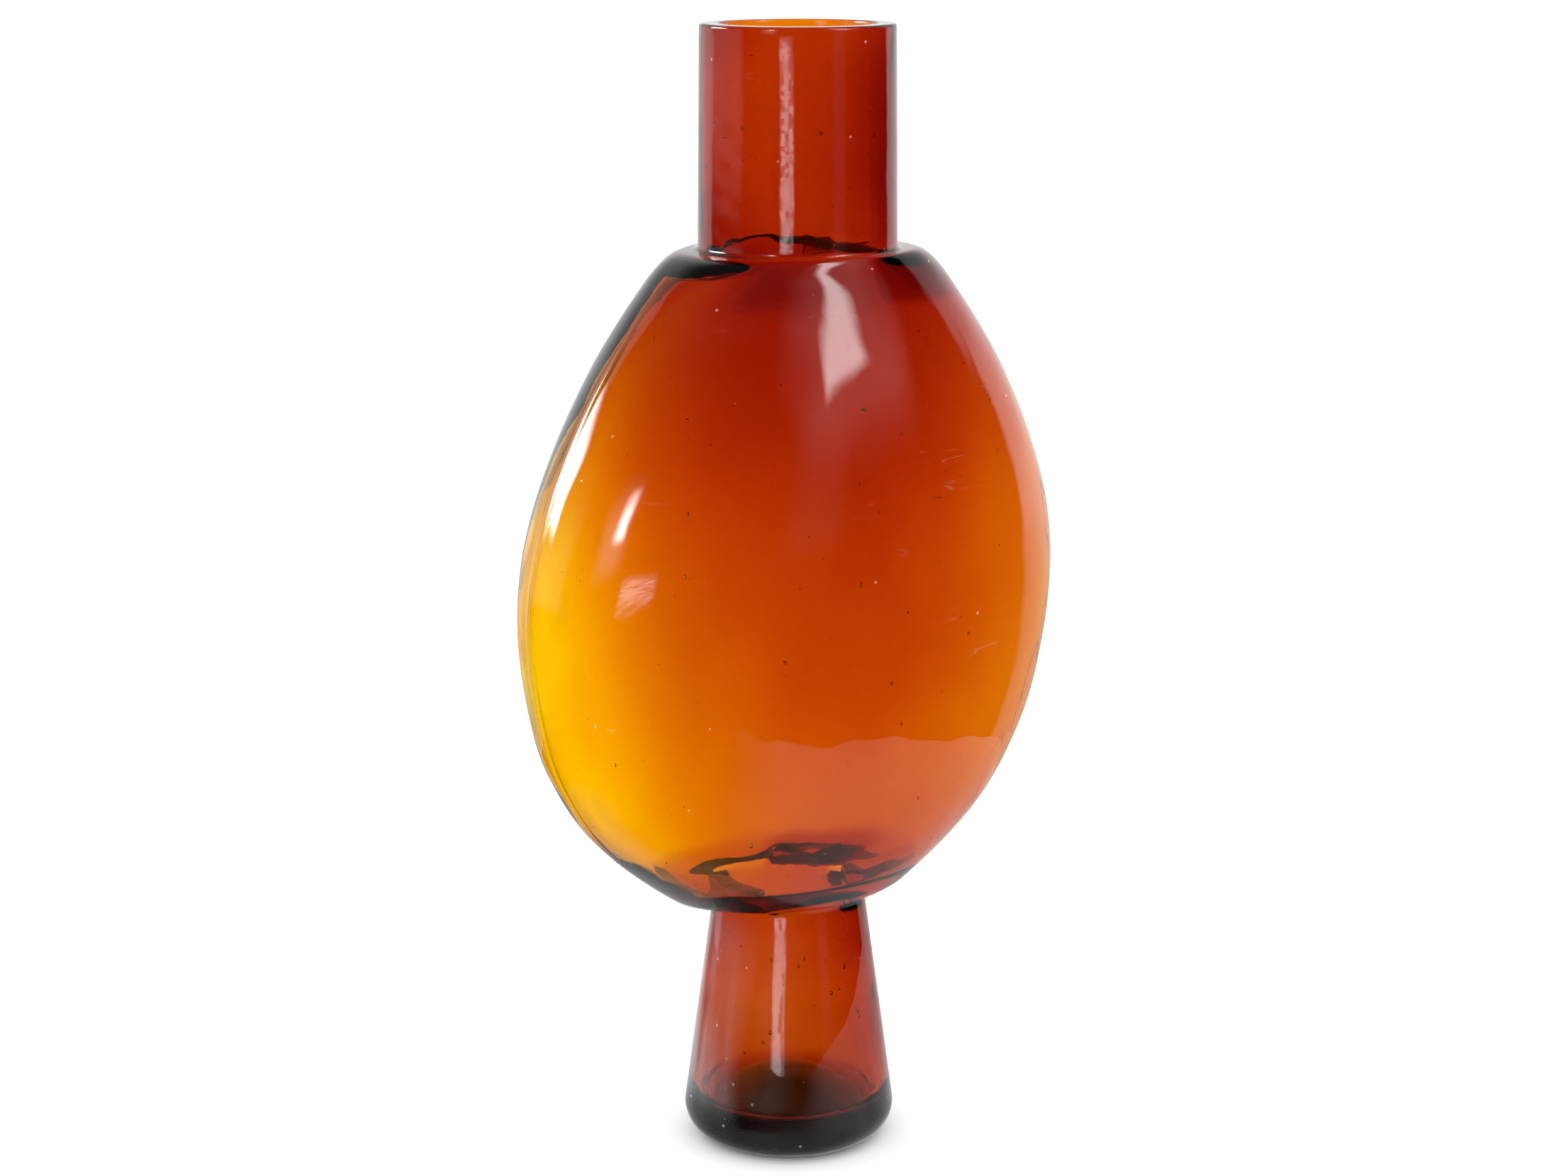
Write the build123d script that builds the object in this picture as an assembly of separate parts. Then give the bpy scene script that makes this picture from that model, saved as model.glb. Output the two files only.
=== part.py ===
"""Mouth-blown glass bud vase: a round foot, a flattened bulb and a straight round neck.

The glass is described by its sections, each a separate solid that meets the next face to face.
Units are millimetres and +Z is up. The origin is on the table, at the centre of the footprint.
X runs along the wide way of the bulb, and Y along its narrow way.
"""
from build123d import *
import os

# Heights of the joins, from the table up.
HEIGHT = 300.0
FLOOR_THICKNESS = 10.0
FOOT_TOP = 70.0
BULB_TOP = 242.4
BULB_HEIGHT = BULB_TOP - FOOT_TOP

# The neck: a straight bore in a tube that widens slightly towards the bulb.
NECK_BORE_RADIUS = 20.3
RIM_RADIUS = 25.4
NECK_BASE_RADIUS = 26.0
RIM_BEVEL = 0.5

# The foot: a hollow cone on a thick floor with a fire-rounded bottom edge.
FOOT_TOP_RADIUS = 20.4
FOOT_BOTTOM_RADIUS = 29.8
FOOT_WALL = 4.0
BOTTOM_EDGE_RADIUS = 8.5

# The inner floor is domed: it rises to a low mound in the middle.
MOUND_RADIUS = 22.0
MOUND_HEIGHT = 8.0

# The bulb is blown in a mould and is an oval in plan: (height, half width in X, half depth in Y).
# The first and last ovals are the two ledges that the foot and the neck stand in from.
BULB_OVALS = [
    (FOOT_TOP, 33.5, 23.2),
    (74.0, 39.5, 26.0),
    (81.0, 48.8, 30.2),
    (91.0, 59.5, 34.8),
    (108.0, 71.0, 39.0),
    (129.0, 77.8, 41.8),
    (151.0, 80.0, 43.8),
    (174.0, 76.6, 44.4),
    (196.0, 68.0, 42.2),
    (217.0, 55.9, 37.6),
    (232.0, 44.8, 32.2),
    (239.6, 38.2, 28.9),
    (BULB_TOP, 34.8, 27.4),
]

# The blown wall is thin at the two ends of the oval, where the glass stretched furthest, and it
# thickens towards the ledges. At the flats it thickens evenly from the bottom to the top.
END_WALL = 1.0
END_WALL_GAIN = 2.6
FLAT_WALL_BOTTOM = 3.0
FLAT_WALL_TOP = 7.4

# Each ledge is pierced by a round opening, cut this far above and below the ledge's outer face.
LEDGE_THICKNESS = 5.0
OPENING_REACH = 12.0

# The axis drifts sideways over the height of the bulb, as it does in a hand-made vessel.
LEAN = 2.7
UPRIGHT_HEIGHT = 149.0


def axis_shift(height):
    """How far in X the bulb's section at this height is centred from the middle of the footprint."""
    return LEAN * (height - UPRIGHT_HEIGHT) / BULB_HEIGHT


NECK_CENTRE = axis_shift(BULB_TOP)
FOOT_CENTRE = axis_shift(FOOT_TOP)


def oval(height, half_width, half_depth):
    """One level oval section of the bulb."""
    return Pos(axis_shift(height), 0, height) * Ellipse(half_width, half_depth)


def end_wall(height):
    """The wall at the two ends of the oval, measured level."""
    from_middle = 2 * (height - FOOT_TOP) / BULB_HEIGHT - 1
    return END_WALL + END_WALL_GAIN * from_middle ** 2


def flat_wall(height):
    """The wall at the front and back of the bulb, measured level."""
    way_up = (height - FOOT_TOP) / BULB_HEIGHT
    return FLAT_WALL_BOTTOM + (FLAT_WALL_TOP - FLAT_WALL_BOTTOM) * way_up


def foot_radius(height):
    """The outside radius of the foot's straight cone at this height."""
    return FOOT_BOTTOM_RADIUS + (FOOT_TOP_RADIUS - FOOT_BOTTOM_RADIUS) * height / FOOT_TOP


def neck():
    """The straight tube with its flat ground rim."""
    stand = Pos(NECK_CENTRE, 0, BULB_TOP)
    length = HEIGHT - BULB_TOP
    up = (Align.CENTER, Align.CENTER, Align.MIN)
    outside = stand * Cone(NECK_BASE_RADIUS, RIM_RADIUS, length, align=up)
    rim_edge = outside.edges().sort_by(Axis.Z)[-1]
    return chamfer(rim_edge, RIM_BEVEL) - stand * Cylinder(NECK_BORE_RADIUS, length, align=up)


def bulb_cavity():
    """The oval hollow inside the bulb, closed level just inside each ledge."""
    lowest = FOOT_TOP + LEDGE_THICKNESS
    highest = BULB_TOP - LEDGE_THICKNESS
    sections = []
    for height, half_width, half_depth in BULB_OVALS[1:-1]:
        level = min(max(height, lowest), highest)
        sections.append(oval(level, half_width - end_wall(level), half_depth - flat_wall(level)))
    return loft(sections)


def body():
    """The flattened bulb with a ledge at each end, open to the neck and to the foot."""
    outside = loft([oval(*section) for section in BULB_OVALS])
    to_neck = Pos(NECK_CENTRE, 0, BULB_TOP) * Cylinder(NECK_BORE_RADIUS, 2 * OPENING_REACH)
    to_foot = Pos(FOOT_CENTRE, 0, FOOT_TOP) * Cylinder(FOOT_TOP_RADIUS - FOOT_WALL, 2 * OPENING_REACH)
    return outside - bulb_cavity() - to_neck - to_foot


def foot():
    """The hollow cone between the bulb and the thick floor."""
    stand = Pos(FOOT_CENTRE, 0, FLOOR_THICKNESS)
    length = FOOT_TOP - FLOOR_THICKNESS
    up = (Align.CENTER, Align.CENTER, Align.MIN)
    floor_radius = foot_radius(FLOOR_THICKNESS)
    outside = stand * Cone(floor_radius, FOOT_TOP_RADIUS, length, align=up)
    inside = stand * Cone(floor_radius - FOOT_WALL, FOOT_TOP_RADIUS - FOOT_WALL, length, align=up)
    return outside - inside


def mound():
    """The cap of a large ball, from half way down the floor up to the top of the mound."""
    ball_radius = (MOUND_RADIUS ** 2 + MOUND_HEIGHT ** 2) / (2 * MOUND_HEIGHT)
    top = FLOOR_THICKNESS + MOUND_HEIGHT
    ball = Pos(0, 0, top - ball_radius) * Sphere(ball_radius)
    up = (Align.CENTER, Align.CENTER, Align.MIN)
    return ball & Pos(0, 0, FLOOR_THICKNESS / 2) * Cylinder(MOUND_RADIUS, top, align=up)


def base():
    """The thick solid floor with its rounded bottom edge and domed top."""
    up = (Align.CENTER, Align.CENTER, Align.MIN)
    disc = Cone(FOOT_BOTTOM_RADIUS, foot_radius(FLOOR_THICKNESS), FLOOR_THICKNESS, align=up)
    bottom_edge = disc.edges().sort_by(Axis.Z)[0]
    return Pos(FOOT_CENTRE, 0, 0) * (fillet(bottom_edge, BOTTOM_EDGE_RADIUS) + mound())


os.makedirs("parts", exist_ok=True)
for name, section in (("neck", neck()), ("body", body()), ("foot", foot()), ("base", base())):
    solid = section.solids()[0]
    solid.label = name
    export_step(solid, "parts/" + name + ".step")
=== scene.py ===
"""A mouth-blown amber glass vase on a white table, in soft studio light.

All lengths are in metres in the part's own frame: +Z up, X along the wide way of the bulb.
The four CAD sections are replaced by one continuous blown wall, because glass that is split into
touching solids would show every join.
"""
import math
import random

import bpy
import numpy as np
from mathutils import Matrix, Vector, noise


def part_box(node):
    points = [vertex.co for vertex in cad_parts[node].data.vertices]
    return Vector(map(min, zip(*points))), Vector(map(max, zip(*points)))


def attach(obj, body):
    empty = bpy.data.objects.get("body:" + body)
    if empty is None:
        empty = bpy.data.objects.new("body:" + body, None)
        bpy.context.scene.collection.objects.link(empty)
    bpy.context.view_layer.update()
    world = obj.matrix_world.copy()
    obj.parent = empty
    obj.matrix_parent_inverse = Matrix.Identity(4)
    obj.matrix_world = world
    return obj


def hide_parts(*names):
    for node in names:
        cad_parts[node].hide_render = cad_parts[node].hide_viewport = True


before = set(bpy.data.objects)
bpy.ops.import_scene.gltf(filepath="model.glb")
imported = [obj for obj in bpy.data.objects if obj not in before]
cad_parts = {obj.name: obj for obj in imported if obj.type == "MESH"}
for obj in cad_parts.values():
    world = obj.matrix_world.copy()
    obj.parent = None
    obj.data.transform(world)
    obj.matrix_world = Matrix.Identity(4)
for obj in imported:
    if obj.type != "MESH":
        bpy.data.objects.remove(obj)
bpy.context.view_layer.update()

MM = 0.001
SEED = 7

# ---------------------------------------------------------------- sizes read from the frame
neck_low, neck_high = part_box("neck")
foot_low, foot_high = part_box("foot")
base_low, base_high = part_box("base")

RIM = neck_high.z
BULB_TOP = neck_low.z
FOOT_TOP = foot_high.z
FLOOR = foot_low.z
MOUND_TOP = base_high.z
BULB_HEIGHT = BULB_TOP - FOOT_TOP
NECK_CENTRE = (neck_low.x + neck_high.x) / 2
FOOT_CENTRE = (foot_low.x + foot_high.x) / 2
NECK_BASE_RADIUS = (neck_high.x - neck_low.x) / 2
FOOT_FLOOR_RADIUS = (foot_high.x - foot_low.x) / 2
FOOT_SPREAD = (base_high.x - base_low.x) / 2

# ---------------------------------------------------------------- the blown shape
RIM_RADIUS = 25.4 * MM
BORE_RADIUS = 20.3 * MM
FOOT_TOP_RADIUS = 20.4 * MM
FOOT_WALL = 4.0 * MM
BOTTOM_EDGE_RADIUS = 8.5 * MM
MOUND_RADIUS = 21.0 * MM
# The shallow hollow under the base: how high it is over most of its width, and in the middle.
HOLLOW_RISE = 0.35 * MM
HOLLOW_MIDDLE = 0.4 * MM
# The rounded corners: under the lower ledge, at the neck's foot, at the rim outside and inside, and
# round the inner floor.
WAIST_CORNER = 1.6 * MM
NECK_BEAD = 1.2 * MM
RIM_OUTER_EDGE = 0.8 * MM
RIM_INNER_EDGE = 0.6 * MM
FLOOR_CORNER = 4.0 * MM
# The inside of the foot is this much narrower above the height where its wall thickens.
WAIST_EXTRA = 0.8 * MM
WAIST_EXTRA_FROM = 42 * MM
WAIST_EXTRA_TO = 54 * MM
# Where the lower ledge ends in its outer edge: half width in X and half depth in Y.
LOWER_LEDGE_WIDTH = 34.4 * MM
LOWER_LEDGE_DEPTH = 23.8 * MM
# Between these heights, in millimetres, the bulb's side is plain, and its rings are evenly spaced.
SIDE_LOW = 80.2
SIDE_HIGH = 238.0
SIDE_STEPS = 86

# The bulb is an oval in plan: (height, half width in X, half depth in Y), in millimetres.
BULB_OVALS = [
    (70.0, 33.5, 23.2),
    (74.0, 39.5, 26.0),
    (81.0, 48.8, 30.2),
    (91.0, 59.5, 34.8),
    (108.0, 71.0, 39.0),
    (129.0, 77.8, 41.8),
    (151.0, 80.0, 43.8),
    (174.0, 76.6, 44.4),
    (196.0, 68.0, 42.2),
    (217.0, 55.9, 37.6),
    (232.0, 44.8, 32.2),
    (239.6, 38.2, 28.9),
    (242.4, 34.8, 27.4),
]
# The wall square to the glass, as (way up the bulb, wall in millimetres). The glass stretched
# furthest at the ends of the oval, the left one most, and stayed thick on the flats.
FLAT_WALL = [(0.0, 3.4), (0.2, 4.1), (0.4, 5.1), (0.6, 5.9), (0.8, 7.1), (1.0, 8.0)]
LEFT_END_WALL = [(0.0, 2.2), (0.12, 1.15), (0.3, 0.85), (0.6, 0.85), (0.8, 1.3), (1.0, 3.4)]
RIGHT_END_WALL = [(0.0, 3.0), (0.12, 1.7), (0.3, 1.0), (0.6, 1.0), (0.8, 2.2), (1.0, 4.6)]

# The inside meets each ledge as a level shelf in some places and as a smooth slope in the others:
# (angle of the shelf's middle, half its reach, glass under it), in degrees from +X towards +Y and
# millimetres.
UPPER_SHELVES = [(186.0, 30.0, 3.8), (40.0, 13.0, 4.4)]
LOWER_SHELVES = [(190.0, 32.0, 4.6), (45.0, 24.0, 5.0), (335.0, 14.0, 4.5)]
# A shelf begins this far inside the level of its own glass, and has closed this far beyond it.
SHELF_BEFORE = 2.4 * MM
SHELF_BEYOND = 1.2 * MM
# The bulb's inside turns in to the neck's bore between CAVITY_TOP and NECK_BORE_END, and to the
# foot's bore between CAVITY_FOOT and FOOT_BORE_TOP. Where it has no shelf it first turns in to the
# foot at FOOT_SLOPE_TOP.
CAVITY_TOP = 226.0 * MM
CAVITY_FOOT = 83.0 * MM
NECK_BORE_END = BULB_TOP + 3.0 * MM
FOOT_BORE_TOP = FOOT_TOP - 7.0 * MM
FOOT_SLOPE_TOP = FOOT_TOP + 8.0 * MM
# Nearer to a ledge than this, the inside no longer follows the outside's own turn inwards.
UPPER_TURN = BULB_TOP - 2.8 * MM
LOWER_TURN = FOOT_TOP + 2.6 * MM

SEGMENTS = 320
ANGLES = np.arange(SEGMENTS) * 2 * np.pi / SEGMENTS
COS, SIN = np.cos(ANGLES), np.sin(ANGLES)


def smooth_step(low, high, value):
    """0 below low, 1 above high, and an S-shaped rise between them."""
    t = np.clip((value - low) / (high - low), 0.0, 1.0)
    return t * t * (3.0 - 2.0 * t)


def slow_finish(t, power=2.6):
    """0 below 0 and 1 above 1, with a smooth rise that is steepest early on."""
    t = min(max(t, 0.0), 1.0)
    return 1.0 - (1.0 - t) ** power * (1.0 + power * t)


def spline(points, where):
    """A smooth curve through (x, y) points, with the slope at each point set by its neighbours."""
    x = np.array([p[0] for p in points], float)
    y = np.array([p[1] for p in points], float)
    slope = np.gradient(y, x)
    i = np.clip(np.searchsorted(x, where, side="right") - 1, 0, len(x) - 2)
    h = x[i + 1] - x[i]
    t = (where - x[i]) / h
    return (
        (2 * t**3 - 3 * t**2 + 1) * y[i]
        + (t**3 - 2 * t**2 + t) * h * slope[i]
        + (3 * t**2 - 2 * t**3) * y[i + 1]
        + (t**3 - t**2) * h * slope[i + 1]
    )


def bulb_half_width(height):
    return spline([(z * MM, a * MM) for z, a, b in BULB_OVALS], height)


def bulb_half_depth(height):
    return spline([(z * MM, b * MM) for z, a, b in BULB_OVALS], height)


def way_up_bulb(height):
    return (height - FOOT_TOP) / BULB_HEIGHT


def centre_at(height):
    """The X of the section's centre: the axis drifts over the height of the bulb."""
    t = min(max(way_up_bulb(height), 0.0), 1.0)
    return FOOT_CENTRE + (NECK_CENTRE - FOOT_CENTRE) * t


def wall_at(height):
    """The bulb's wall at every angle round this height."""
    s = way_up_bulb(height)
    left = spline(LEFT_END_WALL, s) * MM
    right = spline(RIGHT_END_WALL, s) * MM
    rightness = smooth_step(-0.7, 0.7, COS)
    end = left + (right - left) * rightness
    flat = spline(FLAT_WALL, s) * MM
    # How slowly the thin end gives way to the thick flat: the thin patch is widest low on the left.
    left_spread = 5.1 - 3.3 * smooth_step(0.46, 0.8, s)
    right_spread = 1.8
    return end + (flat - end) * np.abs(SIN) ** (left_spread + (right_spread - left_spread) * rightness)


def cavity_outline(height, depth=1.0):
    """The bulb's inside at this height, or the level that lies this share of the wall in."""
    step = 0.5 * MM
    a, b = bulb_half_width(height), bulb_half_depth(height)
    slope_a = (bulb_half_width(height + step) - bulb_half_width(height - step)) / (2 * step)
    slope_b = (bulb_half_depth(height + step) - bulb_half_depth(height - step)) / (2 * step)
    normal_x, normal_y = COS / a, SIN / b
    level = np.hypot(normal_x, normal_y)
    normal_z = -(COS**2 * slope_a / a + SIN**2 * slope_b / b)
    reach = depth * wall_at(height) * np.sqrt(1 + (normal_z / level) ** 2)
    return a * COS - reach * normal_x / level, b * SIN - reach * normal_y / level


def shelf_at(shelves):
    """At every angle, how much of a level shelf the ledge has inside, 0 to 1, and its thickness."""
    faint = 0.001
    share = np.zeros(SEGMENTS)
    thickness = np.zeros(SEGMENTS)
    weights = np.full(SEGMENTS, faint)
    for middle, reach, glass in shelves:
        away = np.abs((np.degrees(ANGLES) - middle + 180.0) % 360.0 - 180.0)
        near = 1 - smooth_step(0.7 * reach, 1.3 * reach, away)
        share = np.maximum(share, near)
        thickness += (near + faint) * glass * MM
        weights += near + faint
    return share, thickness / weights


def ring(height, half_width, half_depth, part):
    """One level section of the surface. part says what surface it is on, for the waviness."""
    return {"z": height, "x": half_width * COS, "y": half_depth * SIN, "part": part}


def arc(centre_radius, centre_height, radius, start, stop, steps, part):
    """Round rings along an arc in the upright section, from angle start to stop in degrees."""
    rings = []
    for i in range(steps + 1):
        angle = math.radians(start + (stop - start) * i / steps)
        r = centre_radius + radius * math.cos(angle)
        rings.append(ring(centre_height + radius * math.sin(angle), r, r, part))
    return rings


def straight(low, high, low_radius, high_radius, steps, part):
    """Round rings evenly up or down a straight side, without its two ends."""
    rings = []
    for i in range(1, steps):
        t = i / steps
        r = low_radius + (high_radius - low_radius) * t
        rings.append(ring(low + (high - low) * t, r, r, part))
    return rings


def outside_rings():
    """From the middle of the underside, out and up to the rim's outer edge."""
    edge = BOTTOM_EDGE_RADIUS
    edge_centre = FOOT_SPREAD - edge
    rings = [ring(HOLLOW_RISE, r * MM, r * MM, "under") for r in (3, 6, 9, 12, 15)]
    rings += [ring(0.15 * MM, 17.5 * MM, 17.5 * MM, "under"), ring(0.0, 19.5 * MM, 19.5 * MM, "under")]
    rings += arc(edge_centre, edge, edge, -88, 0, 18, "foot")
    cone_top = FOOT_TOP - WAIST_CORNER
    rings += straight(edge, cone_top, FOOT_SPREAD, FOOT_TOP_RADIUS, 34, "foot")
    start = FOOT_TOP_RADIUS + WAIST_CORNER
    rings += arc(start, cone_top, WAIST_CORNER, 180, 95, 6, "foot")
    # The lower ledge turns out from the foot and round into the bulb's side.
    for t, lift in ((0.25, 0.02), (0.5, 0.06), (0.72, 0.2), (0.88, 0.55)):
        a = start + (LOWER_LEDGE_WIDTH - start) * t
        b = start + (LOWER_LEDGE_DEPTH - start) * t
        rings.append(ring(FOOT_TOP + lift * MM, a, b, "bulb"))
    for height in (71.3, 72.4, 73.6, 75.0, 76.6, 78.4, SIDE_LOW):
        z = height * MM
        rings.append(ring(z, bulb_half_width(z), bulb_half_depth(z), "bulb"))
    for i in range(1, SIDE_STEPS):
        z = (SIDE_LOW + (SIDE_HIGH - SIDE_LOW) * i / SIDE_STEPS) * MM
        rings.append(ring(z, bulb_half_width(z), bulb_half_depth(z), "bulb"))
    # The upper ledge: a soft corner, then level glass in to the bead at the neck's foot.
    for height, a, b in (
        (SIDE_HIGH, 39.75, 29.65),
        (239.3, 38.35, 28.95),
        (240.4, 36.95, 28.35),
        (241.3, 35.4, 27.95),
        (241.9, 33.7, 27.75),
        (242.25, 31.8, 27.62),
        (242.4, 29.8, 27.5),
    ):
        rings.append(ring(height * MM, a * MM, b * MM, "bulb"))
    tube_low, tube_high = BULB_TOP + NECK_BEAD, RIM - RIM_OUTER_EDGE
    rings += arc(NECK_BASE_RADIUS + NECK_BEAD, tube_low, NECK_BEAD, 265, 180, 6, "neck")
    rings += straight(tube_low, tube_high, NECK_BASE_RADIUS, RIM_RADIUS, 40, "neck")
    rings += arc(RIM_RADIUS - RIM_OUTER_EDGE, tube_high, RIM_OUTER_EDGE, 0, 90, 5, "rim")
    return rings


def foot_bore(height):
    """The foot's inside radius: it widens downwards with the foot, over a slightly thicker waist."""
    floor_bore = FOOT_FLOOR_RADIUS - FOOT_WALL
    t = (height - FLOOR) / (FOOT_TOP - FLOOR)
    thicker = WAIST_EXTRA * float(smooth_step(WAIST_EXTRA_FROM, WAIST_EXTRA_TO, height))
    return floor_bore + (FOOT_TOP_RADIUS - FOOT_WALL - floor_bore) * t - thicker


def opening_ring(height, bore, nearest, shelf, slope, shares):
    """A ring where the bulb's inside closes in to a round bore.

    shelf and slope are how far it has closed at this height, with and without a level shelf.
    """
    x, y = cavity_outline(nearest)
    closed = slope + (shelf - slope) * shares
    x = x + (bore * COS - x) * closed
    y = y + (bore * SIN - y) * closed
    return {"z": height, "x": x, "y": y, "part": "cavity"}


def inside_rings():
    """From the rim's inner edge, down and in to the middle of the inner floor."""
    tube_high = RIM - RIM_INNER_EDGE
    rings = arc(BORE_RADIUS + RIM_INNER_EDGE, tube_high, RIM_INNER_EDGE, 90, 180, 4, "rim")
    rings += straight(tube_high, NECK_BORE_END, BORE_RADIUS, BORE_RADIUS, 34, "bore")
    # Under the upper ledge the bore opens out into the bulb.
    share, glass = shelf_at(UPPER_SHELVES)
    steps = 60
    for i in range(steps + 1):
        z = NECK_BORE_END + (CAVITY_TOP - NECK_BORE_END) * i / steps
        shelf = smooth_step(BULB_TOP - glass - SHELF_BEFORE, BULB_TOP - glass + SHELF_BEYOND, z)
        slope = smooth_step(CAVITY_TOP, NECK_BORE_END, z)
        rings.append(opening_ring(z, BORE_RADIUS, min(z, UPPER_TURN), shelf, slope, share))
    steps = 80
    for i in range(1, steps):
        z = CAVITY_TOP + (CAVITY_FOOT - CAVITY_TOP) * i / steps
        x, y = cavity_outline(z)
        rings.append({"z": z, "x": x, "y": y, "part": "cavity"})
    # Over the lower ledge the bulb closes in to the foot's bore.
    share, glass = shelf_at(LOWER_SHELVES)
    steps = 50
    for i in range(steps + 1):
        z = CAVITY_FOOT + (FOOT_BORE_TOP - CAVITY_FOOT) * i / steps
        shelf = smooth_step(FOOT_TOP + glass + SHELF_BEFORE, FOOT_TOP + glass - SHELF_BEYOND, z)
        slope = slow_finish((FOOT_SLOPE_TOP - z) / (FOOT_SLOPE_TOP - FOOT_BORE_TOP))
        rings.append(opening_ring(z, foot_bore(z), max(z, LOWER_TURN), shelf, slope, share))
    corner_top = FLOOR + FLOOR_CORNER
    steps = 30
    for i in range(1, steps):
        z = FOOT_BORE_TOP + (corner_top - FOOT_BORE_TOP) * i / steps
        rings.append(ring(z, foot_bore(z), foot_bore(z), "foot_bore"))
    corner_centre = foot_bore(corner_top) - FLOOR_CORNER
    rings += arc(corner_centre, corner_top, FLOOR_CORNER, 0, -85, 7, "foot_bore")
    # The inner floor rises to a low mound in the middle.
    for r in (19.0, 16.5, 14.0, 11.0, 8.0, 5.0, 2.0):
        height = MOUND_TOP + (FLOOR - MOUND_TOP) * (r * MM / MOUND_RADIUS) ** 2
        rings.append(ring(height, r * MM, r * MM, "floor"))
    return rings


# ---------------------------------------------------------------- hand-made unevenness
# Each entry: how far the surface waves in or out, and the size of the waves round and up the wall.
WAVES = {
    "under": (0.02 * MM, 8 * MM, 8 * MM),
    "foot": (0.07 * MM, 12 * MM, 30 * MM),
    "bulb": (0.26 * MM, 19 * MM, 30 * MM),
    "neck": (0.05 * MM, 14 * MM, 60 * MM),
    "rim": (0.01 * MM, 10 * MM, 10 * MM),
    "bore": (0.22 * MM, 7 * MM, 70 * MM),
    "cavity": (0.28 * MM, 24 * MM, 38 * MM),
    "foot_bore": (0.16 * MM, 8 * MM, 40 * MM),
    "floor": (0.10 * MM, 9 * MM, 9 * MM),
}
INNER_PARTS = ("bore", "cavity", "foot_bore", "floor")

# The inside waves unlike the outside: its noise is read this far away. Over the waves lie finer
# ones, this many times smaller and this share as high.
INNER_OFFSET = 40.0
FINER = 2.3
FINE_SHARE = 0.35

# Fine wrinkles left as the glass was drawn out: how high, and their size round and up the wall.
WRINKLES = {
    "bulb": (0.03 * MM, 5 * MM, 45 * MM),
    "neck": (0.04 * MM, 5 * MM, 5 * MM),
}

# The bores of the neck and the foot sit off centre, so the wall is thinner on one side.
BORE_SHIFT_X = -0.7 * MM
BORE_SHIFT_Y = 0.45 * MM
FOOT_SHIFT_SHARE = 0.7

# The two mould seams run up the ends of the oval as thin raised lines that wander a little.
SEAM_HEIGHT = 0.3 * MM
SEAM_HALF_WIDTH = 0.7 * MM
SEAM_WANDER = 1.2 * MM
SEAM_WANDER_LENGTH = 30 * MM


def wave(part, x, y, z):
    """The unevenness of this surface at a point, along its outward direction."""
    height, around, upward = WAVES[part]
    offset = INNER_OFFSET if part in INNER_PARTS else 0.0
    coarse = noise.noise(Vector((x / around + offset, y / around, z / upward)))
    fine = noise.noise(Vector((FINER * x / around, FINER * y / around + offset, FINER * z / upward)))
    wrinkle = 0.0
    if part in WRINKLES:
        depth, across, up = WRINKLES[part]
        wrinkle = depth * noise.noise(Vector((x / across, y / across, z / up)))
    return height * (coarse + FINE_SHARE * fine) + wrinkle


def bore_off_centre(height):
    """0 where the inside is true to the outside, 1 where the bore is furthest off centre."""
    in_neck = smooth_step(BULB_TOP + 4 * MM, BULB_TOP + 22 * MM, height)
    in_neck = in_neck * smooth_step(RIM, RIM - 16 * MM, height)
    in_foot = smooth_step(FOOT_TOP + 4 * MM, FOOT_TOP - 6 * MM, height)
    in_foot = in_foot * smooth_step(FLOOR, 30 * MM, height)
    return in_neck + FOOT_SHIFT_SHARE * in_foot


def ring_points(section):
    """The points of one ring, with its waviness and the mould seams."""
    part = section["part"]
    off_centre = float(bore_off_centre(section["z"])) if part in INNER_PARTS else 0.0
    centre_x = centre_at(section["z"]) + BORE_SHIFT_X * off_centre
    centre_y = BORE_SHIFT_Y * off_centre
    points = []
    for i in range(SEGMENTS):
        x, y = float(section["x"][i]), float(section["y"][i])
        length = math.hypot(x, y)
        push = wave(part, x, y, section["z"])
        if part == "bulb":
            middle = smooth_step(0.04, 0.2, way_up_bulb(section["z"]))
            middle *= 1 - smooth_step(0.85, 0.97, way_up_bulb(section["z"]))
            seam_y = y + SEAM_WANDER * noise.noise(Vector((0.0, 9.0, section["z"] / SEAM_WANDER_LENGTH)))
            push += SEAM_HEIGHT * middle * math.exp(-((seam_y / SEAM_HALF_WIDTH) ** 2))
        scale = 1 + push / length
        up = push if part in ("under", "floor") else 0.0
        points.append((centre_x + x * scale, centre_y + y * scale, section["z"] + up))
    return points


def glass_wall():
    """The whole vessel as one closed skin, outside and inside."""
    sections = outside_rings() + inside_rings()
    vertices = [(FOOT_CENTRE, 0.0, HOLLOW_MIDDLE)]
    for section in sections:
        vertices += ring_points(section)
    vertices.append((FOOT_CENTRE, 0.0, MOUND_TOP))
    faces = []
    last = len(vertices) - 1
    for j in range(SEGMENTS):
        after = (j + 1) % SEGMENTS
        faces.append((0, 1 + after, 1 + j))
        start = 1 + (len(sections) - 1) * SEGMENTS
        faces.append((last, start + j, start + after))
    for i in range(len(sections) - 1):
        lower = 1 + i * SEGMENTS
        upper = lower + SEGMENTS
        for j in range(SEGMENTS):
            after = (j + 1) % SEGMENTS
            faces.append((lower + j, lower + after, upper + after, upper + j))
    return vertices, faces


# ---------------------------------------------------------------- seeds: small bubbles in the wall
SEED_COUNT = 300
SEED_SMALLEST = 0.12 * MM
SEED_LARGEST = 0.45 * MM
# Seeds lie between these heights, but not near the ledges, nor where the wall is thinner than this.
SEED_LOWEST = 18 * MM
SEED_HIGHEST = 292 * MM
SEED_BULB_LOW = 84 * MM
SEED_BULB_HIGH = 224 * MM
SEED_THINNEST_WALL = 1.1 * MM


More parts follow.
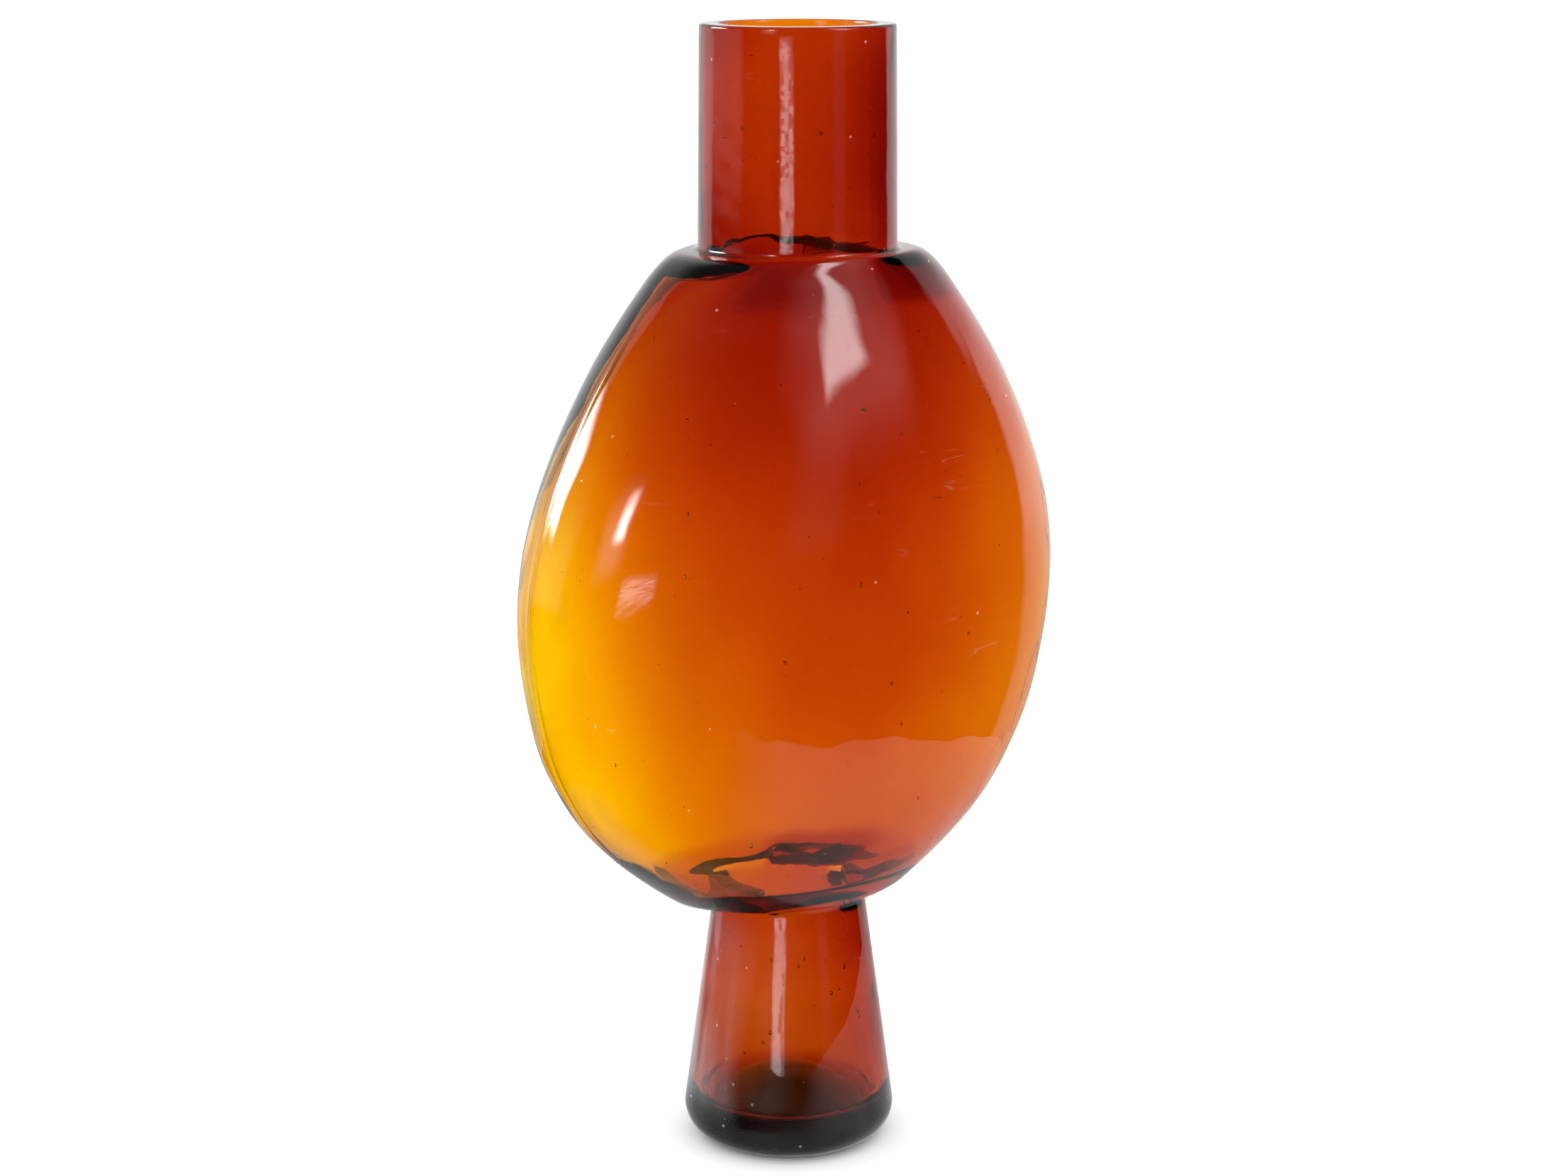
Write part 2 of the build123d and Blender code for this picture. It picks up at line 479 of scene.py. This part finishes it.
def unit_ball():
    """The points and faces of a small round ball, turned inside out, because it is a hole in glass."""
    rows, columns = 6, 8
    points = [(0.0, 0.0, -1.0)]
    for i in range(1, rows):
        tilt = math.pi * i / rows - math.pi / 2
        for j in range(columns):
            turn = 2 * math.pi * j / columns
            level = math.cos(tilt)
            points.append((level * math.cos(turn), level * math.sin(turn), math.sin(tilt)))
    points.append((0.0, 0.0, 1.0))
    last = len(points) - 1
    faces = []
    for j in range(columns):
        after = (j + 1) % columns
        faces.append((0, 1 + j, 1 + after))
        start = 1 + (rows - 2) * columns
        faces.append((last, start + after, start + j))
        for i in range(rows - 2):
            low = 1 + i * columns
            faces.append((low + j, low + columns + j, low + columns + after, low + after))
    return points, faces


def seed_places(rng):
    """Where the bubbles are: the middle of the wall, on the bulb, the neck and the foot."""
    places = []
    while len(places) < SEED_COUNT:
        z = rng.uniform(SEED_LOWEST, SEED_HIGHEST)
        i = rng.randrange(SEGMENTS)
        size = SEED_SMALLEST + (SEED_LARGEST - SEED_SMALLEST) * rng.random() ** 4
        if SEED_BULB_LOW < z < SEED_BULB_HIGH:
            x, y = cavity_outline(z, depth=0.5)
            wall = wall_at(z)[i]
        elif z > BULB_TOP + 8 * MM:
            middle = (RIM_RADIUS + BORE_RADIUS) / 2
            x, y = middle * COS, middle * SIN
            wall = RIM_RADIUS - BORE_RADIUS
        elif z < FOOT_TOP - 5 * MM:
            middle = foot_bore(z) + FOOT_WALL / 2
            x, y = middle * COS, middle * SIN
            wall = FOOT_WALL
        else:
            continue
        if wall < SEED_THINNEST_WALL:
            continue
        places.append((centre_at(z) + float(x[i]), float(y[i]), z, min(size, 0.2 * float(wall))))
    return places


def add_seeds(vertices, faces):
    rng = random.Random(SEED)
    ball_points, ball_faces = unit_ball()
    for x, y, z, size in seed_places(rng):
        stretch = rng.uniform(1.0, 1.9)
        first = len(vertices)
        for px, py, pz in ball_points:
            vertices.append((x + px * size, y + py * size, z + pz * size * stretch))
        for face in ball_faces:
            faces.append(tuple(first + k for k in face))


def make_vase():
    vertices, faces = glass_wall()
    add_seeds(vertices, faces)
    mesh = bpy.data.meshes.new("vase_glass")
    mesh.from_pydata(vertices, [], faces)
    mesh.validate()
    mesh.shade_smooth()
    piece = bpy.data.objects.new("vase_glass", mesh)
    bpy.context.scene.collection.objects.link(piece)
    return piece


# ---------------------------------------------------------------- materials
def direction(azimuth, elevation):
    """Towards this azimuth and elevation in degrees. Azimuth 0 is -Y, the front, and 90 is +X."""
    az, el = math.radians(azimuth), math.radians(elevation)
    return Vector((math.sin(az) * math.cos(el), -math.cos(az) * math.cos(el), math.sin(el)))


class Maths:
    """Short ways to write sums in a node tree."""

    def __init__(self, tree):
        self.nodes, self.links = tree.nodes, tree.links

    def put(self, value, socket):
        if hasattr(value, "is_output"):
            self.links.new(value, socket)
        else:
            socket.default_value = value

    def do(self, operation, *values):
        node = self.nodes.new("ShaderNodeMath")
        node.operation = operation
        for value, socket in zip(values, node.inputs):
            self.put(value, socket)
        return node.outputs[0]

    def rise(self, value, low, high):
        """0 below low and 1 above high, with a smooth rise between."""
        node = self.nodes.new("ShaderNodeMapRange")
        node.interpolation_type = "SMOOTHSTEP"
        self.put(value, node.inputs["Value"])
        self.put(low, node.inputs["From Min"])
        self.put(high, node.inputs["From Max"])
        return node.outputs["Result"]

    def mix(self, amount, first, second):
        return self.do("ADD", self.do("MULTIPLY", amount, second),
                       self.do("MULTIPLY", self.do("SUBTRACT", 1.0, amount), first))

    def dot(self, axes, vector):
        """The sum of three outputs, each times a number."""
        terms = [self.do("MULTIPLY", axis, number) for axis, number in zip(axes, vector)]
        return self.do("ADD", self.do("ADD", terms[0], terms[1]), terms[2])


def new_material(name):
    material = bpy.data.materials.new(name)
    material.use_nodes = True
    material.node_tree.nodes.clear()
    return material, material.node_tree.nodes, material.node_tree.links


# How much light the amber glass takes from red, green and blue, per metre of glass.
ABSORB_RED = 115.0
ABSORB_GREEN = 386.0
ABSORB_BLUE = 3600.0


def amber_glass():
    material, nodes, links = new_material("amber_glass")
    output = nodes.new("ShaderNodeOutputMaterial")
    glass = nodes.new("ShaderNodeBsdfPrincipled")
    glass.inputs["Base Color"].default_value = (1.0, 1.0, 1.0, 1.0)
    glass.inputs["Transmission Weight"].default_value = 1.0
    glass.inputs["IOR"].default_value = 1.5
    glass.inputs["Roughness"].default_value = 0.0
    links.new(glass.outputs["BSDF"], output.inputs["Surface"])

    volume = nodes.new("ShaderNodeVolumeAbsorption")
    volume.inputs["Density"].default_value = ABSORB_BLUE
    volume.inputs["Color"].default_value = (
        1 - ABSORB_RED / ABSORB_BLUE,
        1 - ABSORB_GREEN / ABSORB_BLUE,
        0.0,
        1.0,
    )
    links.new(volume.outputs["Volume"], output.inputs["Volume"])

    # Fine unevenness of the fire-polished skin, and tiny pits.
    place = nodes.new("ShaderNodeTexCoord")
    skin = nodes.new("ShaderNodeTexNoise")
    skin.inputs["Scale"].default_value = 130.0
    skin.inputs["Detail"].default_value = 3.0
    links.new(place.outputs["Object"], skin.inputs["Vector"])

    pits = nodes.new("ShaderNodeTexVoronoi")
    pits.inputs["Scale"].default_value = 160.0
    links.new(place.outputs["Object"], pits.inputs["Vector"])
    pit_shape = nodes.new("ShaderNodeMapRange")
    pit_shape.inputs["From Min"].default_value = 0.0
    pit_shape.inputs["From Max"].default_value = 0.06
    links.new(pits.outputs["Distance"], pit_shape.inputs["Value"])

    skin_bump = nodes.new("ShaderNodeBump")
    skin_bump.inputs["Strength"].default_value = 0.06
    skin_bump.inputs["Distance"].default_value = 0.0004
    links.new(skin.outputs["Fac"], skin_bump.inputs["Height"])
    pit_bump = nodes.new("ShaderNodeBump")
    pit_bump.inputs["Strength"].default_value = 0.25
    pit_bump.inputs["Distance"].default_value = 0.0002
    links.new(pit_shape.outputs["Result"], pit_bump.inputs["Height"])
    links.new(skin_bump.outputs["Normal"], pit_bump.inputs["Normal"])
    links.new(pit_bump.outputs["Normal"], glass.inputs["Normal"])

    add_dust(Maths(material.node_tree), place.outputs["Object"], glass)
    return material


def add_dust(m, place, glass):
    """A film of dust on the foot, thickest at its left, with loose specks and hairline scratches."""
    split = m.nodes.new("ShaderNodeSeparateXYZ")
    m.put(place, split.inputs[0])
    x, y, z = split.outputs
    leftward = m.dot((x, y, z), direction(-124, 0))
    left_side = m.rise(leftward, -9 * MM, 27 * MM)
    on_foot = m.rise(z, 72 * MM, 58 * MM)
    on_base = m.do("MULTIPLY", m.rise(z, 26 * MM, 12 * MM), m.rise(z, 3 * MM, 11 * MM))
    dusty = m.do("MULTIPLY", left_side, on_foot)
    film = m.do("MULTIPLY", dusty, m.rise(z, 8 * MM, 18 * MM))
    film = m.do("MAXIMUM", film, m.do("MULTIPLY", on_base, 0.15))

    upright = m.nodes.new("ShaderNodeMapping")
    upright.inputs["Scale"].default_value = (130.0, 130.0, 18.0)
    m.put(place, upright.inputs["Vector"])
    cloud = m.nodes.new("ShaderNodeTexNoise")
    cloud.inputs["Scale"].default_value = 1.0
    cloud.inputs["Detail"].default_value = 1.0
    m.put(upright.outputs["Vector"], cloud.inputs["Vector"])
    patchy = m.rise(cloud.outputs["Fac"], 0.1, 0.8)

    # Specks: in a few of the cells, and in more of them where the foot is dusty.
    specks = m.nodes.new("ShaderNodeTexVoronoi")
    specks.inputs["Scale"].default_value = 420.0
    m.put(place, specks.inputs["Vector"])
    chance = m.nodes.new("ShaderNodeSeparateColor")
    m.put(specks.outputs["Color"], chance.inputs[0])
    share = m.do("ADD", 0.012, m.do("MULTIPLY", dusty, 0.13))
    chosen = m.do("LESS_THAN", chance.outputs[0], share)
    spot = m.rise(specks.outputs["Distance"], 0.2, 0.12)
    speck = m.do("MULTIPLY", chosen, spot)

    # Scratches: thin level lines of a stretched cloud, broken up by another.
    stretch = m.nodes.new("ShaderNodeMapping")
    stretch.inputs["Scale"].default_value = (14.0, 14.0, 210.0)
    stretch.inputs["Rotation"].default_value = (0.25, 0.1, 0.0)
    m.put(place, stretch.inputs["Vector"])
    lines = m.nodes.new("ShaderNodeTexNoise")
    lines.inputs["Scale"].default_value = 1.0
    m.put(stretch.outputs["Vector"], lines.inputs["Vector"])
    hairline = m.rise(m.do("ABSOLUTE", m.do("SUBTRACT", lines.outputs["Fac"], 0.5)), 0.004, 0.001)
    breaks = m.nodes.new("ShaderNodeTexNoise")
    breaks.inputs["Scale"].default_value = 60.0
    m.put(place, breaks.inputs["Vector"])
    scratch = m.do("MULTIPLY", hairline, m.rise(breaks.outputs["Fac"], 0.6, 0.68))

    weight = m.do("MULTIPLY", m.do("MULTIPLY", film, patchy), 0.36)
    weight = m.do("ADD", weight, m.do("MULTIPLY", speck, 0.9))
    weight = m.do("ADD", weight, m.do("MULTIPLY", scratch, 0.2))
    m.put(m.do("MINIMUM", weight, 1.0), glass.inputs["Sheen Weight"])
    glass.inputs["Sheen Roughness"].default_value = 0.7


# ---------------------------------------------------------------- stage
FLOOR_GAP = 0.15 * MM
FLOOR_SIZE = 12.0
TABLE_RADIUS = 0.27
FLOOR_SHADE = 0.95
TABLE_SHADE = 0.42


def white_matt(name, shade):
    """Plain matt white. Returns the material and its shader, for the shade to be varied."""
    material, nodes, links = new_material(name)
    output = nodes.new("ShaderNodeOutputMaterial")
    matt = nodes.new("ShaderNodeBsdfPrincipled")
    matt.inputs["Roughness"].default_value = 0.9
    matt.inputs["Specular IOR Level"].default_value = 0.0
    matt.inputs["Base Color"].default_value = (shade, shade, shade, 1.0)
    links.new(matt.outputs["BSDF"], output.inputs["Surface"])
    return material, matt


def disc(name, radius, height, steps=96):
    points = []
    for i in range(steps):
        turn = 2 * math.pi * i / steps
        points.append((radius * math.cos(turn), radius * math.sin(turn), height))
    mesh = bpy.data.meshes.new(name)
    mesh.from_pydata(points, [], [tuple(range(steps))])
    piece = bpy.data.objects.new(name, mesh)
    bpy.context.scene.collection.objects.link(piece)
    return piece


def make_floor():
    floor = disc("floor", FLOOR_SIZE, -FLOOR_GAP)
    floor.data.materials.append(white_matt("floor_white", FLOOR_SHADE)[0])
    floor.visible_glossy = False


def make_table():
    """The white table top the glass mirrors, with painted shade at its left, away from the vase's foot.
    """
    table = disc("table_top", TABLE_RADIUS, -2 * FLOOR_GAP)
    material, matt = white_matt("table_white", TABLE_SHADE)
    m = Maths(material.node_tree)
    place = material.node_tree.nodes.new("ShaderNodeTexCoord")
    axes = material.node_tree.nodes.new("ShaderNodeSeparateXYZ")
    m.put(place.outputs["Object"], axes.inputs[0])
    x, y, _ = axes.outputs
    from_vase = m.do("SQRT", m.do("ADD", m.do("MULTIPLY", x, x), m.do("MULTIPLY", y, y)))
    # Painted light and shade: the colour is lighter at the right, behind the vase and near its foot, and
    # darker elsewhere.
    lit_right = m.rise(x, -85 * MM, 30 * MM)
    lit_behind = m.do("MULTIPLY", m.rise(y, -30 * MM, 30 * MM), m.rise(from_vase, 190 * MM, 70 * MM))
    lit_near = m.do("MULTIPLY", m.rise(from_vase, 90 * MM, 50 * MM), 0.6)
    painted_light = m.do("MAXIMUM", lit_right, m.do("MAXIMUM", lit_behind, lit_near))
    shade = m.do("MULTIPLY", TABLE_SHADE, painted_light)
    colour = material.node_tree.nodes.new("ShaderNodeCombineColor")
    for socket in colour.inputs:
        if socket.name in ("Red", "Green", "Blue"):
            m.put(shade, socket)
    m.put(colour.outputs["Color"], matt.inputs["Base Color"])
    table.data.materials.append(material)
    table.visible_camera = False
    table.visible_transmission = False
    table.visible_diffuse = False
    table.visible_shadow = False


# ---------------------------------------------------------------- studio
# Brightness of what stands round the vase. The glass is lit through from all sides, and mirrors a
# dark room with a white backdrop behind it, a pale wall at the left and soft lamps.
THROUGH_LIGHT = 1.55
ROOM_LIGHT = 1.08
FLOOR_LIGHT = 1.63
CEILING_LIGHT = 0.10
DARK_ROOM = 0.02

BACKDROP_MIDDLE = 150.0
BACKDROP_HALF_WIDTH = 67.0
BACKDROP_UPRIGHT_HALF_WIDTH = 60.0
BACKDROP_EDGE = 5.0
LEFT_WALL_MIDDLE = -128.0
LEFT_WALL_HALF_WIDTH = 26.0
LEFT_WALL_EDGE = 8.0
LEFT_WALL_LIGHT = 0.55


def soft_panel(m, axes, azimuth, elevation, half_width, half_height, soft, brightness,
               tilt=0.0, foot_width=None):
    """A lamp panel with soft edges, as seen from the vase. Sizes and the tilt are in degrees.

    foot_width is the half width at the lower edge, for a panel that narrows downwards.
    """
    foot_width = half_width if foot_width is None else foot_width
    towards = direction(azimuth, elevation)
    level = direction(azimuth + 90, 0)
    upright = level.cross(towards)
    turn = math.radians(tilt)
    across = level * math.cos(turn) + upright * math.sin(turn)
    up = upright * math.cos(turn) - level * math.sin(turn)
    facing = m.dot(axes, towards)
    ahead = m.do("MAXIMUM", facing, 0.05)
    u = m.do("ABSOLUTE", m.do("DIVIDE", m.dot(axes, across), ahead))
    v = m.do("DIVIDE", m.dot(axes, up), ahead)
    wide, narrow = math.tan(math.radians(half_width)), math.tan(math.radians(foot_width))
    high, blur = math.tan(math.radians(half_height)), math.tan(math.radians(soft))
    slope = (wide - narrow) / (2 * high)
    edge = m.do("ADD", m.do("MULTIPLY", v, slope), (wide + narrow) / 2)
    inside = m.rise(m.do("SUBTRACT", edge, u), -blur / 2, blur / 2)
    inside = m.do("MULTIPLY", inside, m.rise(v, -high - blur / 2, -high + blur / 2))
    inside = m.do("MULTIPLY", inside, m.rise(v, high + blur / 2, high - blur / 2))
    inside = m.do("MULTIPLY", inside, m.rise(facing, 0.05, 0.1))
    return m.do("MULTIPLY", inside, brightness)


def make_world():
    """The surroundings, which differ by kind of ray.

    Through the glass there is even light below a dark ceiling. The glass mirrors a dark room with a
    backdrop, a pale wall and lamps. The floor is lit evenly.
    """
    scene = bpy.context.scene
    world = bpy.data.worlds.new("studio")
    scene.world = world
    world.use_nodes = True
    tree = world.node_tree
    tree.nodes.clear()
    m = Maths(tree)
    output = tree.nodes.new("ShaderNodeOutputWorld")
    background = tree.nodes.new("ShaderNodeBackground")
    background.inputs["Color"].default_value = (1.0, 1.0, 1.0, 1.0)
    tree.links.new(background.outputs[0], output.inputs["Surface"])
    place = tree.nodes.new("ShaderNodeTexCoord")
    split = tree.nodes.new("ShaderNodeSeparateXYZ")
    tree.links.new(place.outputs["Generated"], split.inputs[0])
    axes = list(split.outputs)
    x, y, z = axes
    level = m.do("SQRT", m.do("ADD", m.do("MULTIPLY", x, x), m.do("MULTIPLY", y, y)))
    level = m.do("MAXIMUM", level, 0.001)

    def zone(azimuth, half_width, soft):
        """1 within half_width degrees of this azimuth on the level, with an edge this soft."""
        turned = m.do("DIVIDE", m.dot(axes, direction(azimuth, 0)), level)
        outer = math.cos(math.radians(half_width + soft / 2))
        inner = math.cos(math.radians(half_width - soft / 2))
        return m.rise(turned, outer, inner)

    # The backdrop is wider higher up.
    backdrop = zone(BACKDROP_MIDDLE, BACKDROP_HALF_WIDTH, BACKDROP_EDGE)
    backdrop = m.do("MULTIPLY", backdrop, m.rise(z, 0.1, 0.28))
    upright = zone(BACKDROP_MIDDLE, BACKDROP_UPRIGHT_HALF_WIDTH, BACKDROP_EDGE)
    backdrop = m.do("MAXIMUM", backdrop, upright)
    low_backdrop = m.mix(m.rise(z, -0.28, -0.08), 0.45, 1.0)
    backdrop_light = m.mix(m.rise(z, 0.1, 0.4), low_backdrop, 0.62)
    left_wall = zone(LEFT_WALL_MIDDLE, LEFT_WALL_HALF_WIDTH, LEFT_WALL_EDGE)
    left_wall = m.do("MULTIPLY", left_wall, m.rise(z, -0.11, -0.05))
    left_wall = m.do("MULTIPLY", left_wall, m.rise(z, 0.5, 0.1))
    ceiling = m.rise(z, 0.62, 0.85)

    mirrored = m.mix(left_wall, DARK_ROOM, LEFT_WALL_LIGHT)
    mirrored = m.mix(backdrop, mirrored, backdrop_light)
    mirrored = m.mix(ceiling, mirrored, CEILING_LIGHT)
    # Level bands break up the low lamp.
    level_bands = tree.nodes.new("ShaderNodeMapping")
    level_bands.inputs["Scale"].default_value = (7.0, 7.0, 80.0)
    tree.links.new(place.outputs["Generated"], level_bands.inputs["Vector"])
    streaks = tree.nodes.new("ShaderNodeTexNoise")
    streaks.inputs["Scale"].default_value = 1.0
    streaks.inputs["Detail"].default_value = 4.0
    tree.links.new(level_bands.outputs["Vector"], streaks.inputs["Vector"])
    ragged = m.mix(m.rise(streaks.outputs["Fac"], 0.42, 0.58), 0.3, 1.0)
    # Each panel: azimuth, elevation, half width, half height, softness and brightness.
    for lamp in (
        # The main lamp in front at the right, which narrows downwards, with its glow and a faint one
        # below it.
        soft_panel(m, axes, 20, 37, 9, 18, 5, 8.5, tilt=-12, foot_width=1),
        soft_panel(m, axes, 26, 31, 19, 22, 20, 0.7),
        soft_panel(m, axes, 14, 6, 7, 14, 9, 0.15),
        # A small lamp at the left with its glow.
        soft_panel(m, axes, -65, 17, 3.2, 4, 5, 24.0),
        soft_panel(m, axes, -68, 13, 7, 9, 10, 1.8),
        # A wide lamp behind at the left.
        soft_panel(m, axes, -143, 18, 13, 7, 7, 24.0),
        # A low lamp in front at the left, which draws the upright streaks on the neck and the foot.
        m.do("MULTIPLY", soft_panel(m, axes, -47, -5, 8, 3.5, 4, 5.0), ragged),
    ):
        mirrored = m.do("ADD", mirrored, lamp)
    through = m.mix(ceiling, THROUGH_LIGHT, CEILING_LIGHT)

    rays = tree.nodes.new("ShaderNodeLightPath")
    strength = m.mix(rays.outputs["Is Transmission Ray"], ROOM_LIGHT, through)
    strength = m.mix(rays.outputs["Is Reflection Ray"], strength, mirrored)
    strength = m.mix(rays.outputs["Is Diffuse Ray"], strength, FLOOR_LIGHT)
    tree.links.new(strength, background.inputs["Strength"])
    world.cycles.sampling_method = "NONE"


# ---------------------------------------------------------------- camera
CAMERA_PLACE = Vector((-0.4552, -0.6707, 0.33735))
CAMERA_AIM = Vector((0.54513, 0.80819, -0.22284))
FOCAL_LENGTH = 71.85
SENSOR_WIDTH = 36.0


def make_camera():
    scene = bpy.context.scene
    data = bpy.data.cameras.new("camera")
    data.lens = FOCAL_LENGTH
    data.sensor_width = SENSOR_WIDTH
    data.sensor_fit = "HORIZONTAL"
    data.clip_start = 0.01
    camera = bpy.data.objects.new("camera", data)
    scene.collection.objects.link(camera)
    camera.location = CAMERA_PLACE
    camera.rotation_euler = CAMERA_AIM.to_track_quat("-Z", "Y").to_euler()
    scene.camera = camera


def set_picture():
    scene = bpy.context.scene
    scene.view_settings.view_transform = "Standard"
    scene.view_settings.look = "None"
    scene.cycles.max_bounces = 32
    scene.cycles.transmission_bounces = 32
    scene.cycles.glossy_bounces = 16
    scene.cycles.use_denoising = True


make_camera()
make_floor()
make_table()
make_world()
set_picture()

vase = make_vase()
vase.data.materials.append(amber_glass())
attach(vase, "root")
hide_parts("neck", "body", "foot", "base")


bpy.context.view_layer.update()
